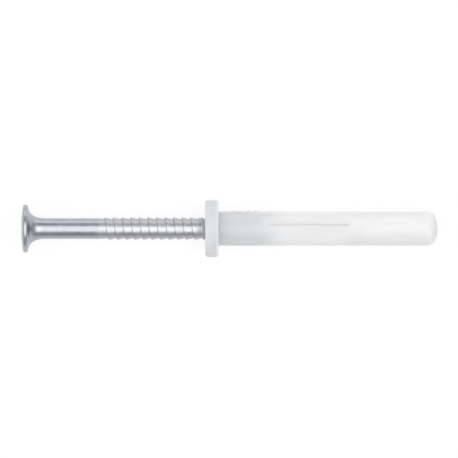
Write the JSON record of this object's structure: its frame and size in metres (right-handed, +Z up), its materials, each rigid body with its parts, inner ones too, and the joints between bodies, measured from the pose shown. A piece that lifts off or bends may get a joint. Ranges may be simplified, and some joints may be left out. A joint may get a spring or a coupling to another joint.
{
  "type": "hammer fixing plug",
  "caption": "Hammer-in wall plug: a collared plastic sleeve with spreading slits and a rounded nose, holding a dome-headed threaded steel nail that is driven in to spread it.",
  "frame": {"origin": "middle of the collar's underside, the face that meets the wall, on the plug's axis", "axes": "+X along the axis from the nail's head to the sleeve's nose, +Y towards the sleeve's grip teeth, +Z up with the plug lying on its side"},
  "size_m": [0.0716, 0.0098, 0.0098],
  "materials": {
    "translucent_plastic": "moulded translucent white plastic, soft gloss",
    "zinc_plated_steel": "bright zinc plating, faintly blue"
  },
  "bodies": {
    "sleeve": {"sleeve": "translucent_plastic"},
    "nail": {"nail": "zinc_plated_steel"}
  },
  "joints": [
    {"name": "nail_drive", "type": "slide", "parent": "sleeve", "child": "nail", "axis": [1, 0, 0], "range_m": [0, 0.03095], "deforming": ["sleeve"]}
  ]
}
